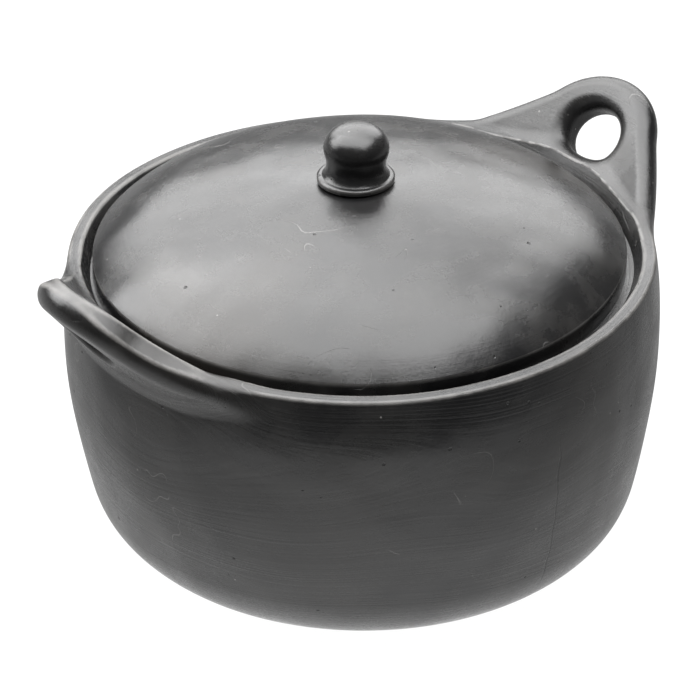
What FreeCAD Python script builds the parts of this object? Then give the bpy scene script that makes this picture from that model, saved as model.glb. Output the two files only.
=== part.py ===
"""Black clay stew pot: a coil-built bowl with two pierced ears and a lid with a knob.

Frame: millimetres, +Z up. The origin is the centre of the foot, on the surface the pot
stands on. The ears point along -X (left) and +X (right).

The bowl is a pressed base, a wall coil and a rim coil, joined with slip. The lid's ledge
and the ears are luted on. The lid is a domed plate with a collar and a knob luted on top.
"""
import FreeCAD, Part
import math
import os
import Sketcher
from FreeCAD import Placement, Rotation, Vector

# Driving dimensions: alias, value and what it measures. Lengths are in mm, angles in degrees.
SIZES = (
    # bowl, outside
    ("pot_height", 132.4, "top of the lip above the foot"),
    ("foot_radius", 52.0, "flat of the foot"),
    ("base_arc", 101.0, "arc from the foot to the shoulder of the base"),
    ("shoulder_arc", 36.0, "arc that turns the base up into the wall"),
    ("wall_arc", 304.0, "arc of the wall below the belly"),
    ("neck_arc", 152.0, "arc of the wall above the belly"),
    ("belly_radius", 121.9, "widest radius of the bowl"),
    ("belly_height", 103.0, "height of the widest radius"),
    ("lip_width", 6.4, "width of the lip, which is flat on top"),
    ("lip_round", 1.5, "rounding of the lip's two edges"),
    # bowl, inside
    ("wall_thickness", 6.8, "thickness of the wall"),
    ("floor_thickness", 8.0, "thickness of the floor"),
    ("inner_shoulder_arc", 29.0, "arc between floor and wall, inside"),
    # seams between the pieces of the bowl
    ("base_seam", 34.0, "height of the seam between base and wall"),
    ("rim_seam", 110.0, "height of the seam between wall and rim"),
    # seat for the lid
    ("mouth_radius", 110.4, "inner radius of the thick rim, at the ledge"),
    ("ledge_depth", 7.0, "ledge below the top of the lip"),
    ("ledge_radius", 99.0, "free inner radius of the ledge"),
    ("ledge_edge", 5.0, "thickness of the ledge at its free edge"),
    ("rim_band", 15.0, "height of the thick rim below the lip"),
    # lid
    ("lid_radius", 108.3, "edge of the lid"),
    ("lid_rise", 31.4, "crown of the lid above the lip"),
    ("dome_arc", 262.0, "arc of the lid's crown"),
    ("dome_shoulder_arc", 69.0, "arc of the lid's shoulder"),
    ("lid_corner", 1.5, "rounding of the lid's upper corner"),
    ("lid_thickness", 7.5, "thickness of the lid"),
    ("lid_seat_radius", 101.0, "inner radius of the lid's flat seat"),
    # knob
    ("collar_radius", 15.8, "collar under the knob"),
    ("collar_height", 3.0, "height of the collar"),
    ("collar_round", 1.5, "rounding of the collar's side"),
    ("knob_neck_radius", 11.9, "narrowest radius of the knob"),
    ("knob_neck_height", 7.2, "narrowest place above the lid's crown"),
    ("knob_neck_arc", 12.6, "hollow arc of the neck"),
    ("knob_head_arc", 8.5, "round of the knob's head"),
    ("knob_height", 24.0, "top of the knob above the lid's crown"),
    # ears
    ("ear_tilt", 47.5, "angle of an ear above the horizontal"),
    ("ear_root_radius", 120.6, "middle of an ear's plate at its root, from the pot's axis"),
    ("ear_root_drop", 4.1, "middle of an ear's plate at its root, below the lip"),
    ("ear_thickness", 12.5, "thickness of an ear's plate"),
    ("ear_round", 5.0, "rounding of an ear's edges"),
    ("ear_reach", 41.5, "top of an ear above its root, along the plate"),
    ("ear_crown_arc", 32.5, "round top of an ear"),
    ("ear_flare_arc", 50.0, "hollow arc between the top and the foot of an ear"),
    ("ear_foot_width", 164.0, "width of an ear's foot along the rim"),
    ("ear_foot_drop", 36.0, "ends of the foot below the root, along the plate"),
    ("ear_foot_slope", 48.5, "fall of the foot's outline"),
    ("ear_plate_below_root", 16.0, "plate carried into the wall, before it is trimmed"),
    ("ear_plate_above_root", 60.0, "plate carried past the top, before it is trimmed"),
    ("ear_plate_angle", 100.0, "sweep of the plate around the pot before it is trimmed"),
    ("ear_blank_depth", 80.0, "depth of the outline's pad, square to the plate"),
    ("finger_hole_width", 27.0, "finger hole across the ear"),
    ("finger_hole_height", 24.0, "finger hole along the ear"),
    ("finger_hole_centre", 14.5, "centre of the finger hole above the root, along the plate"),
)

HALF_TURN = 180.0
FULL_TURN = 360.0
RIGHT_ANGLE = 90.0
FULL_CIRCLE = 2 * math.pi   # a full turn in radians, for the angles of sketched arcs
CUT_MARGIN = 20.0           # how far a cutting slab runs past what it cuts

# Sketcher's names for the points of a curve, and for the sketch's own origin and axes.
START, END, CENTRE = 1, 2, 3
ORIGIN = (-1, 1)
VERTICAL_AXIS = -2


# ---------------------------------------------------------------- document and sheet

doc = FreeCAD.newDocument("BlackClayPot")


def make_sheet():
    """One row for each driving dimension: its alias, its value and its meaning."""
    sheet = doc.addObject("Spreadsheet::Sheet", "Sizes")
    for row, (alias, value, meaning) in enumerate(SIZES, start=1):
        sheet.set(f"A{row}", alias)
        sheet.set(f"B{row}", str(value))
        sheet.set(f"C{row}", meaning)
        sheet.setAlias(f"B{row}", alias)
    doc.recompute()
    return sheet


sizes = make_sheet()


def size(alias):
    """The value of one cell, to place a curve before its constraints hold it."""
    return float(sizes.get(alias))


def in_sheet(formula):
    """A formula in the sheet's aliases, written the way an expression wants it."""
    aliases = {alias for alias, _value, _meaning in SIZES}
    return " ".join("Sizes." + word if word in aliases else word for word in formula.split())


# ---------------------------------------------------------------- sketch helpers

def new_body(name):
    return doc.addObject("PartDesign::Body", name)


def new_sketch(body, plane_role, name):
    """A sketch on one of the body's own origin planes."""
    sketch = body.newObject("Sketcher::SketchObject", name)
    sketch.AttachmentSupport = [(origin_part(body, plane_role), "")]
    sketch.MapMode = "FlatFace"
    return sketch


def at(x, y):
    return Vector(x, y, 0)


def line(sketch, start, end):
    return sketch.addGeometry(Part.LineSegment(start, end))


def arc(sketch, centre, radius, start_angle, end_angle):
    """An arc that runs anticlockwise between two angles in radians."""
    circle = Part.Circle(centre, Vector(0, 0, 1), radius)
    return sketch.addGeometry(Part.ArcOfCircle(circle, start_angle, end_angle))


def mirrored(point):
    """The same point on the other side of the sketch's vertical axis."""
    return at(-point.x, point.y)


def angle_to(centre, point):
    return math.atan2(point.y - centre.y, point.x - centre.x)


def join(sketch, *points):
    """Join pairs of curve ends: (curve, end, curve, end)."""
    for pair in points:
        constrain(sketch, "Coincident", *pair)


def blend(sketch, *points):
    """Join pairs of curve ends so that the outline runs smoothly through them."""
    for pair in points:
        constrain(sketch, "Tangent", *pair)


def drive(sketch, kind, where, name, formula):
    """Add a dimension whose value comes from the sheet."""
    start_value = float(sketch.evalExpression(in_sheet(formula)))
    index = sketch.addConstraint(Sketcher.Constraint(kind, *where, start_value))
    sketch.renameConstraint(index, name)
    sketch.setExpression("Constraints." + name, in_sheet(formula))


def constrain(sketch, kind, *where):
    sketch.addConstraint(Sketcher.Constraint(kind, *where))


def level(sketch, *curves):
    for curve in curves:
        constrain(sketch, "Horizontal", curve)


def upright(sketch, *curves):
    for curve in curves:
        constrain(sketch, "Vertical", curve)


def closed_outline(sketch, corners):
    """Straight lines from corner to corner and back to the first."""
    count = len(corners)
    first = sketch.GeometryCount
    for number, corner in enumerate(corners):
        line(sketch, corner, corners[(number + 1) % count])
    for number in range(count):
        join(sketch, (first + number, END, first + (number + 1) % count, START))


def meeting_point(centre_a, radius_a, centre_b, radius_b):
    """Where two circles cross, on the left of the way from centre a to centre b."""
    way = centre_b - centre_a
    gap = way.Length
    along = (radius_a ** 2 - radius_b ** 2 + gap ** 2) / (2 * gap)
    across = math.sqrt(radius_a ** 2 - along ** 2)
    way.normalize()
    return centre_a + way * along + at(-way.y, way.x) * across


def origin_part(body, role):
    """One of the body's own origin planes or axes."""
    return [item for item in body.Origin.OriginFeatures if item.Role == role][0]


def revolve(body, sketch, name):
    """Turn a section all the way round the pot's axis."""
    doc.recompute()
    feature = body.newObject("PartDesign::Revolution", name)
    feature.Profile = sketch
    feature.ReferenceAxis = (origin_part(body, "Z_Axis"), [""])
    feature.Angle = FULL_TURN
    body.Tip = feature
    doc.recompute()


# ---------------------------------------------------------------- bowl

def outside_centres():
    """Centres of the base, shoulder and wall arcs, which touch each other smoothly."""
    base = at(size("foot_radius"), size("base_arc"))
    wall = at(size("belly_radius") - size("wall_arc"), size("belly_height"))
    base_reach = size("base_arc") - size("shoulder_arc")
    wall_reach = size("wall_arc") - size("shoulder_arc")
    shoulder = meeting_point(base, base_reach, wall, wall_reach)
    return base, shoulder, wall


def lip_centre():
    """Centre of the lip's outer round, which touches the arc above the belly from inside."""
    neck = at(size("belly_radius") - size("neck_arc"), size("belly_height"))
    height = size("pot_height") - size("lip_round")
    reach = size("neck_arc") - size("lip_round")
    across = math.sqrt(reach ** 2 - (height - neck.y) ** 2)
    return neck, at(neck.x + across, height)


def draw_outside(sketch):
    """The outside of the bowl, from the foot to the top of the belly's neck.

    Curves 0 to 4: foot, base arc, shoulder arc, wall arc, neck arc.
    """
    base, shoulder, wall = outside_centres()
    neck, lip = lip_centre()
    base_end = angle_to(base, shoulder)
    wall_start = angle_to(wall, shoulder)
    line(sketch, at(0, 0), at(size("foot_radius"), 0))
    arc(sketch, base, size("base_arc"), -math.pi / 2, base_end)
    arc(sketch, shoulder, size("shoulder_arc"), base_end, wall_start)
    arc(sketch, wall, size("wall_arc"), wall_start, 0)
    arc(sketch, neck, size("neck_arc"), 0, angle_to(neck, lip))
    join(sketch, (0, START, *ORIGIN))
    level(sketch, 0)
    blend(sketch, (0, END, 1, START), (1, END, 2, START), (2, END, 3, START), (3, END, 4, START))
    constrain(sketch, "Horizontal", 3, CENTRE, 3, END)
    drive(sketch, "DistanceX", (*ORIGIN, 0, END), "foot_radius", "foot_radius")
    drive(sketch, "Radius", (1,), "base_arc", "base_arc")
    drive(sketch, "Radius", (2,), "shoulder_arc", "shoulder_arc")
    drive(sketch, "Radius", (3,), "wall_arc", "wall_arc")
    drive(sketch, "Radius", (4,), "neck_arc", "neck_arc")
    drive(sketch, "DistanceX", (*ORIGIN, 3, END), "belly_radius", "belly_radius")
    drive(sketch, "DistanceY", (*ORIGIN, 3, END), "belly_height", "belly_height")


def make_bowl():
    """The whole fired bowl: one section turned round the axis, before it is parted."""
    body = new_body("BowlShell")
    sketch = new_sketch(body, "XZ_Plane", "BowlSection")
    draw_outside(sketch)

    # Curves 5 to 7 are the lip, flat between two rounds. Curve 8 slopes down to the ledge.
    neck, lip = lip_centre()
    lip_round = size("lip_round")
    top = size("pot_height")
    inner_lip = lip - at(size("lip_width") - 2 * lip_round, 0)
    ledge_corner = at(size("mouth_radius"), top - size("ledge_depth"))
    reach = (ledge_corner - inner_lip).Length
    lean = math.acos(lip_round / reach)
    slope_start = angle_to(inner_lip, ledge_corner) - lean + FULL_CIRCLE
    slope_top = inner_lip + at(math.cos(slope_start), math.sin(slope_start)) * lip_round
    arc(sketch, lip, lip_round, angle_to(neck, lip), math.pi / 2)
    line(sketch, at(lip.x, top), at(inner_lip.x, top))
    arc(sketch, inner_lip, lip_round, math.pi / 2, slope_start)
    line(sketch, slope_top, ledge_corner)

    # Curves 9 and 10 are the thick rim's inner face and its taper to the wall.
    base, _shoulder, wall = outside_centres()
    inner_wall = size("wall_arc") - size("wall_thickness")
    inner_base = size("base_arc") - size("floor_thickness")
    inner_round = size("inner_shoulder_arc")
    rise = size("rim_seam") - wall.y
    taper_end = at(wall.x + math.sqrt(inner_wall ** 2 - rise ** 2), size("rim_seam"))
    band_bottom = at(size("mouth_radius"), size("pot_height") - size("rim_band"))
    line(sketch, ledge_corner, band_bottom)
    line(sketch, band_bottom, taper_end)

    # Curves 11 to 15 are the inner wall, shoulder, base and floor, and the axis.
    shoulder = meeting_point(base, inner_base - inner_round, wall, inner_wall - inner_round)
    base_end = angle_to(base, shoulder)
    wall_start = angle_to(wall, shoulder)
    floor = size("floor_thickness")
    arc(sketch, wall, inner_wall, wall_start, angle_to(wall, taper_end))
    arc(sketch, shoulder, inner_round, base_end, wall_start)
    arc(sketch, base, inner_base, -math.pi / 2, base_end)
    line(sketch, at(base.x, floor), at(0, floor))
    line(sketch, at(0, floor), at(0, 0))

    blend(sketch, (4, END, 5, START), (5, END, 6, START), (6, END, 7, START), (7, END, 8, START))
    join(sketch, (8, END, 9, START), (9, END, 10, START), (10, END, 11, END))
    blend(sketch, (11, START, 12, END), (12, START, 13, END), (13, START, 14, START))
    join(sketch, (14, END, 15, START), (15, END, *ORIGIN))
    join(sketch, (11, CENTRE, 3, CENTRE), (13, CENTRE, 1, CENTRE))
    constrain(sketch, "Equal", 5, 7)
    level(sketch, 6, 14)
    upright(sketch, 9, 15)
    drive(sketch, "Radius", (5,), "lip_round", "lip_round")
    drive(sketch, "DistanceY", (*ORIGIN, 6, START), "pot_height", "pot_height")
    drive(sketch, "DistanceX", (6, END, 6, START), "lip_flat", "lip_width - 2 * lip_round")
    drive(sketch, "DistanceX", (*ORIGIN, 8, END), "mouth_radius", "mouth_radius")
    drive(sketch, "DistanceY", (*ORIGIN, 8, END), "ledge_height", "pot_height - ledge_depth")
    drive(sketch, "DistanceY", (*ORIGIN, 9, END), "band_height", "pot_height - rim_band")
    drive(sketch, "DistanceY", (*ORIGIN, 10, END), "rim_seam", "rim_seam")
    drive(sketch, "Radius", (11,), "inner_wall", "wall_arc - wall_thickness")
    drive(sketch, "Radius", (12,), "inner_shoulder", "inner_shoulder_arc")
    drive(sketch, "Radius", (13,), "inner_base", "base_arc - floor_thickness")
    revolve(body, sketch, "BowlTurned")
    return body


def make_bowl_envelope():
    """The bowl's outside filled solid, which trims the ears so that they meet it face to face."""
    body = new_body("BowlEnvelope")
    sketch = new_sketch(body, "XZ_Plane", "EnvelopeSection")
    draw_outside(sketch)

    # Curve 5 is the lip's outer round, 6 the flat across the mouth and 7 the axis.
    neck, lip = lip_centre()
    top = size("pot_height")
    arc(sketch, lip, size("lip_round"), angle_to(neck, lip), math.pi / 2)
    line(sketch, at(lip.x, top), at(0, top))
    line(sketch, at(0, top), at(0, 0))
    blend(sketch, (4, END, 5, START), (5, END, 6, START))
    join(sketch, (6, END, 7, START), (7, END, *ORIGIN))
    level(sketch, 6)
    upright(sketch, 7)
    drive(sketch, "Radius", (5,), "lip_round", "lip_round")
    drive(sketch, "DistanceY", (*ORIGIN, 6, END), "pot_height", "pot_height")
    revolve(body, sketch, "EnvelopeTurned")
    return body


def make_bowl_slice(bowl, label, bottom, top):
    """The ring of the bowl between two heights, given as formulas of the sheet."""
    slab = doc.addObject("Part::Cylinder", label + "_slab")
    slab.setExpression("Radius", in_sheet("belly_radius") + f" + {CUT_MARGIN}")
    slab.setExpression("Height", f"{in_sheet(top)} - ({in_sheet(bottom)})")
    slab.setExpression("Placement.Base.z", in_sheet(bottom))
    ring = doc.addObject("Part::Common", label)
    ring.Base = bowl
    ring.Tool = slab
    return ring


def make_lid_ledge():
    """The ring luted inside the rim. Its flat top carries the lid."""
    body = new_body("lid_ledge")
    sketch = new_sketch(body, "XZ_Plane", "LedgeSection")
    top = size("pot_height") - size("ledge_depth")
    inner = size("ledge_radius")
    outer = size("mouth_radius")
    bottom = size("pot_height") - size("rim_band")
    free_bottom = top - size("ledge_edge")
    closed_outline(sketch, (at(inner, free_bottom), at(outer, bottom), at(outer, top), at(inner, top)))
    level(sketch, 2)
    upright(sketch, 1, 3)
    drive(sketch, "DistanceX", (*ORIGIN, 1, START), "outer_radius", "mouth_radius")
    drive(sketch, "DistanceY", (*ORIGIN, 1, START), "foot_height", "pot_height - rim_band")
    drive(sketch, "DistanceX", (*ORIGIN, 3, START), "free_radius", "ledge_radius")
    drive(sketch, "DistanceY", (*ORIGIN, 3, START), "seat_height", "pot_height - ledge_depth")
    drive(sketch, "DistanceY", (3, END, 3, START), "free_edge", "ledge_edge")
    revolve(body, sketch, "LedgeTurned")
    return body


# ---------------------------------------------------------------- ears

def lean_across_ear(sketch):
    """Tilt a sketch of the XZ plane: origin at the ear's root, x up the plate, y through it."""
    sketch.AttachmentOffset = Placement(Vector(), Rotation(Vector(0, 0, 1), RIGHT_ANGLE))
    sketch.setExpression("AttachmentOffset.Base.x", in_sheet("ear_root_radius"))
    sketch.setExpression("AttachmentOffset.Base.y", in_sheet("pot_height - ear_root_drop"))
    sketch.setExpression("AttachmentOffset.Rotation.Angle", in_sheet("ear_tilt"))


def lean_along_ear(sketch):
    """Tilt a sketch of the YZ plane: origin at the ear's root, x along the rim, y up the plate."""
    sketch.AttachmentOffset = Placement(Vector(), Rotation(Vector(1, 0, 0), RIGHT_ANGLE))
    sketch.setExpression("AttachmentOffset.Base.y", in_sheet("pot_height - ear_root_drop"))
    sketch.setExpression("AttachmentOffset.Base.z", in_sheet("ear_root_radius"))
    sketch.setExpression("AttachmentOffset.Rotation.Angle", in_sheet("90 - ear_tilt"))


def make_ear_plate(name):
    """A flared plate that follows the rim: a strip swept part of the way round the pot."""
    body = new_body(name + "_plate")
    sketch = new_sketch(body, "XZ_Plane", name + "_strip")
    lean_across_ear(sketch)
    half = size("ear_thickness") / 2
    bottom = -size("ear_plate_below_root")
    top = size("ear_plate_above_root")
    closed_outline(sketch, (at(bottom, -half), at(top, -half), at(top, half), at(bottom, half)))
    level(sketch, 0, 2)
    upright(sketch, 1, 3)
    drive(sketch, "DistanceX", (*ORIGIN, 0, START), "below_root", "- ear_plate_below_root")
    drive(sketch, "DistanceX", (*ORIGIN, 0, END), "above_root", "ear_plate_above_root")
    drive(sketch, "DistanceY", (*ORIGIN, 1, END), "inner_face", "ear_thickness / 2")
    drive(sketch, "DistanceY", (1, START, 1, END), "thickness", "ear_thickness")
    doc.recompute()
    plate = body.newObject("PartDesign::Revolution", name + "_sweep")
    plate.Profile = sketch
    plate.ReferenceAxis = (origin_part(body, "Z_Axis"), [""])
    plate.Midplane = True
    plate.setExpression("Angle", in_sheet("ear_plate_angle"))
    body.Tip = plate
    doc.recompute()
    return body


def draw_ear_outline(sketch):
    """The round crown, the hollow flares and the falling foot edges of an ear.

    Curves: 0 crown, 1 and 2 flares, 3 and 4 the foot's falling edges, 5 to 7 the closing
    lines, which lie inside the bowl's wall.
    """
    crown = size("ear_crown_arc")
    flare = size("ear_flare_arc")
    slope = math.radians(size("ear_foot_slope"))
    crown_centre = at(0, size("ear_reach") - crown)
    foot = at(size("ear_foot_width") / 2, -size("ear_foot_drop"))
    below = foot.y - size("ear_plate_below_root")

    # The flare's centre lies its own radius above the foot's edge and outside the crown.
    normal = at(math.sin(slope), math.cos(slope))
    fall = at(math.cos(slope), -math.sin(slope))
    height = (foot + normal * flare - crown_centre).dot(normal)
    along = math.sqrt((crown + flare) ** 2 - height ** 2)
    flare_centre = crown_centre + normal * height + fall * along
    touch = flare_centre - normal * flare
    crown_end = angle_to(crown_centre, flare_centre)
    flare_start = crown_end + math.pi
    flare_end = 3 * math.pi / 2 - slope

    arc(sketch, crown_centre, crown, crown_end, math.pi - crown_end)
    arc(sketch, flare_centre, flare, flare_start, flare_end)
    arc(sketch, mirrored(flare_centre), flare, math.pi - flare_end, math.pi - flare_start)
    line(sketch, touch, foot)
    line(sketch, mirrored(touch), mirrored(foot))
    line(sketch, foot, at(foot.x, below))
    line(sketch, at(foot.x, below), at(-foot.x, below))
    line(sketch, at(-foot.x, below), mirrored(foot))

    blend(sketch, (0, START, 1, START), (0, END, 2, END), (1, END, 3, START), (2, START, 4, START))
    join(sketch, (3, END, 5, START), (5, END, 6, START), (6, END, 7, START), (7, END, 4, END))
    constrain(sketch, "PointOnObject", 0, CENTRE, VERTICAL_AXIS)
    constrain(sketch, "Symmetric", 3, END, 4, END, VERTICAL_AXIS)
    constrain(sketch, "Equal", 1, 2)
    constrain(sketch, "Equal", 3, 4)
    level(sketch, 6)
    upright(sketch, 5, 7)
    drive(sketch, "Radius", (0,), "crown_arc", "ear_crown_arc")
    drive(sketch, "DistanceY", (*ORIGIN, 0, CENTRE), "crown_centre", "ear_reach - ear_crown_arc")
    drive(sketch, "Radius", (1,), "flare_arc", "ear_flare_arc")
    drive(sketch, "DistanceX", (4, END, 3, END), "foot_width", "ear_foot_width")
    drive(sketch, "DistanceY", (*ORIGIN, 3, END), "foot_drop", "- ear_foot_drop")
    drive(sketch, "DistanceY", (*ORIGIN, 5, END), "closing", "- ear_foot_drop - ear_plate_below_root")
    drive(sketch, "Angle", (3,), "foot_slope", "-1 deg * ear_foot_slope")


def draw_finger_hole(sketch):
    """An upright oval, held by its own two axes."""
    centre = at(0, size("finger_hole_centre"))
    across = at(size("finger_hole_width") / 2, 0)
    along = at(0, size("finger_hole_height") / 2)
    oval = sketch.addGeometry(Part.Ellipse(centre + across, centre + along, centre))
    sketch.exposeInternalGeometry(oval)
    long_axis, short_axis = oval + 1, oval + 2
    level(sketch, long_axis)
    constrain(sketch, "PointOnObject", oval, CENTRE, VERTICAL_AXIS)
    drive(sketch, "DistanceY", (*ORIGIN, oval, CENTRE), "hole_centre", "finger_hole_centre")
    drive(sketch, "Distance", (long_axis,), "hole_width", "finger_hole_width")
    drive(sketch, "Distance", (short_axis,), "hole_height", "finger_hole_height")


def make_ear_blank(name):
    """The ear's outline with its finger hole, padded square to the plate."""
    body = new_body(name + "_blank")
    sketch = new_sketch(body, "YZ_Plane", name + "_outline")
    lean_along_ear(sketch)
    draw_ear_outline(sketch)
    draw_finger_hole(sketch)
    doc.recompute()
    pad = body.newObject("PartDesign::Pad", name + "_pad")
    pad.Profile = sketch
    pad.Midplane = True
    pad.setExpression("Length", in_sheet("ear_blank_depth"))
    body.Tip = pad
    doc.recompute()
    return body


def edges_to_round(shape):
    """Numbers of the edges where the plate's faces meet its outline and its finger hole.

    Each lies between one conical face and one wall that is not conical. The foot's ends,
    which the bowl's envelope trims away, stay sharp.
    """
    foot_end = size("ear_foot_width") / 2
    numbers = []
    for number, edge in enumerate(shape.Edges, start=1):
        faces = shape.ancestorsOfType(edge, Part.Face)
        conical = [face for face in faces if isinstance(face.Surface, Part.Cone)]
        middle = edge.valueAt((edge.FirstParameter + edge.LastParameter) / 2)
        if len(conical) == 1 and abs(middle.y) < foot_end - size("ear_round"):
            numbers.append(number)
    return numbers


def make_ear(name, turn, envelope):
    """One ear: plate and outline in common, edges rounded, trimmed to the bowl."""
    pierced = doc.addObject("Part::Common", name + "_pierced")
    pierced.Base = make_ear_plate(name)
    pierced.Tool = make_ear_blank(name)
    doc.recompute()
    rounded = doc.addObject("Part::Fillet", name + "_rounded")
    rounded.Base = pierced
    radius = size("ear_round")
    rounded.Edges = [(number, radius, radius) for number in edges_to_round(pierced.Shape)]
    doc.recompute()
    ear = doc.addObject("Part::Cut", name)
    ear.Base = rounded
    ear.Tool = envelope
    ear.Placement = Placement(Vector(), Rotation(Vector(0, 0, 1), turn))
    return ear


# ---------------------------------------------------------------- lid

def dome_centre():
    return at(0, size("pot_height") + size("lid_rise") - size("dome_arc"))


def make_lid_plate():
    """The domed lid: a crown arc, a tighter shoulder arc and a flat seat round the edge.

    Curves: 0 crown, 1 shoulder, 2 corner, 3 side, 4 seat, 5 seat's inner edge,
    6 and 7 the inside of the dome, 8 the axis.
    """
    body = new_body("lid_plate")
    sketch = new_sketch(body, "XZ_Plane", "LidSection")
    dome = size("dome_arc")
    shoulder = size("dome_shoulder_arc")
    corner = size("lid_corner")
    thickness = size("lid_thickness")
    edge = size("lid_radius")
    top = size("pot_height")
    seat = top - size("ledge_depth")
    corner_centre = at(edge - corner, top)
    shoulder_centre = meeting_point(dome_centre(), dome - shoulder, corner_centre, shoulder - corner)
    crown_end = angle_to(dome_centre(), shoulder_centre)
    shoulder_end = angle_to(shoulder_centre, corner_centre)
    inner_shoulder = shoulder - thickness
    inner_radius = size("lid_seat_radius")
    inner_reach = inner_radius - shoulder_centre.x
    inner_start = at(inner_radius, shoulder_centre.y + math.sqrt(inner_shoulder ** 2 - inner_reach ** 2))
    inner_top = at(0, dome_centre().y + dome - thickness)

    arc(sketch, dome_centre(), dome, crown_end, math.pi / 2)
    arc(sketch, shoulder_centre, shoulder, shoulder_end, crown_end)
    arc(sketch, corner_centre, corner, 0, shoulder_end)
    line(sketch, at(edge, top), at(edge, seat))
    line(sketch, at(edge, seat), at(inner_radius, seat))
    line(sketch, at(inner_radius, seat), inner_start)
    arc(sketch, shoulder_centre, inner_shoulder, angle_to(shoulder_centre, inner_start), crown_end)
    arc(sketch, dome_centre(), dome - thickness, crown_end, math.pi / 2)
    line(sketch, inner_top, at(0, dome_centre().y + dome))

    blend(sketch, (0, START, 1, END), (1, START, 2, END), (2, START, 3, START))
    join(sketch, (3, END, 4, START), (4, END, 5, START), (5, END, 6, START))
    blend(sketch, (6, END, 7, START))
    join(sketch, (7, END, 8, START), (8, END, 0, END), (7, CENTRE, 0, CENTRE), (6, CENTRE, 1, CENTRE))
    constrain(sketch, "PointOnObject", 0, CENTRE, VERTICAL_AXIS)
    constrain(sketch, "PointOnObject", 0, END, VERTICAL_AXIS)
    level(sketch, 4)
    upright(sketch, 3, 5, 8)
    drive(sketch, "Radius", (0,), "dome_arc", "dome_arc")
    drive(sketch, "DistanceY", (*ORIGIN, 0, END), "crown_height", "pot_height + lid_rise")
    drive(sketch, "Radius", (1,), "shoulder_arc", "dome_shoulder_arc")
    drive(sketch, "Radius", (2,), "corner", "lid_corner")
    drive(sketch, "DistanceX", (*ORIGIN, 3, START), "lid_radius", "lid_radius")
    drive(sketch, "DistanceY", (*ORIGIN, 3, START), "corner_height", "pot_height")
    drive(sketch, "DistanceY", (*ORIGIN, 3, END), "seat_height", "pot_height - ledge_depth")
    drive(sketch, "DistanceX", (*ORIGIN, 4, END), "seat_radius", "lid_seat_radius")
    drive(sketch, "Radius", (7,), "inner_dome", "dome_arc - lid_thickness")
    revolve(body, sketch, "LidTurned")
    return body


def make_knob_collar():
    """The round pad of clay under the knob. Its underside follows the lid's crown."""
    body = new_body("knob_collar")
    sketch = new_sketch(body, "XZ_Plane", "CollarSection")
    centre = dome_centre()
    dome = size("dome_arc")
    side_round = size("collar_round")
    crown = centre.y + dome
    top = crown + size("collar_height")
    side = at(size("collar_radius") - side_round, top - side_round)
    foot = at(side.x, centre.y + math.sqrt(dome ** 2 - side.x ** 2))
    arc(sketch, centre, dome, angle_to(centre, foot), math.pi / 2)
    line(sketch, foot, side - at(0, side_round))
    arc(sketch, side, side_round, -math.pi / 2, math.pi / 2)
    line(sketch, at(side.x, top), at(0, top))
    line(sketch, at(0, top), at(0, crown))

    join(sketch, (0, START, 1, START), (1, END, 2, START), (3, END, 4, START), (4, END, 0, END))
    blend(sketch, (2, END, 3, START))
    constrain(sketch, "PointOnObject", 0, CENTRE, VERTICAL_AXIS)
    constrain(sketch, "PointOnObject", 0, END, VERTICAL_AXIS)
    constrain(sketch, "Vertical", 2, START, 2, END)
    level(sketch, 3)
    upright(sketch, 1, 4)
    drive(sketch, "Radius", (0,), "dome_arc", "dome_arc")
    drive(sketch, "DistanceY", (*ORIGIN, 0, END), "crown_height", "pot_height + lid_rise")
    drive(sketch, "Radius", (2,), "side_round", "collar_round")
    drive(sketch, "DistanceX", (*ORIGIN, 2, CENTRE), "side", "collar_radius - collar_round")
    drive(sketch, "DistanceY", (*ORIGIN, 3, END), "top", "pot_height + lid_rise + collar_height")
    revolve(body, sketch, "CollarTurned")
    return body


def make_lid_knob():
    """The solid knob: a hollow neck arc that turns into a round head with a flat top.

    Curves: 0 foot, 1 neck, 2 head, 3 top, 4 axis.
    """
    body = new_body("lid_knob")
    sketch = new_sketch(body, "XZ_Plane", "KnobSection")
    crown = size("pot_height") + size("lid_rise")
    bottom = crown + size("collar_height")
    top = crown + size("knob_height")
    neck_arc = size("knob_neck_arc")
    head_arc = size("knob_head_arc")
    neck = at(size("knob_neck_radius") + neck_arc, crown + size("knob_neck_height"))
    head_height = top - head_arc
    reach = neck_arc + head_arc
    head = at(neck.x - math.sqrt(reach ** 2 - (head_height - neck.y) ** 2), head_height)
    foot = at(neck.x - math.sqrt(neck_arc ** 2 - (neck.y - bottom) ** 2), bottom)
    neck_end = angle_to(neck, head)

    line(sketch, at(0, bottom), foot)
    arc(sketch, neck, neck_arc, neck_end, angle_to(neck, foot) + FULL_CIRCLE)
    arc(sketch, head, head_arc, neck_end - math.pi, math.pi / 2)
    line(sketch, at(head.x, top), at(0, top))
    line(sketch, at(0, top), at(0, bottom))

    join(sketch, (0, END, 1, END), (3, END, 4, START), (4, END, 0, START))
    blend(sketch, (1, START, 2, START), (2, END, 3, START))
    constrain(sketch, "PointOnObject", 0, START, VERTICAL_AXIS)
    level(sketch, 0, 3)
    upright(sketch, 4)
    drive(sketch, "DistanceY", (*ORIGIN, 0, START), "foot", "pot_height + lid_rise + collar_height")
    drive(sketch, "Radius", (1,), "neck_arc", "knob_neck_arc")
    drive(sketch, "DistanceX", (*ORIGIN, 1, CENTRE), "neck_centre", "knob_neck_radius + knob_neck_arc")
    drive(sketch, "DistanceY", (0, START, 1, CENTRE), "neck_height", "knob_neck_height - collar_height")
    drive(sketch, "Radius", (2,), "head_arc", "knob_head_arc")
    drive(sketch, "DistanceY", (*ORIGIN, 3, END), "top", "pot_height + lid_rise + knob_height")
    revolve(body, sketch, "KnobTurned")
    return body


# ---------------------------------------------------------------- the pot

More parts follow.
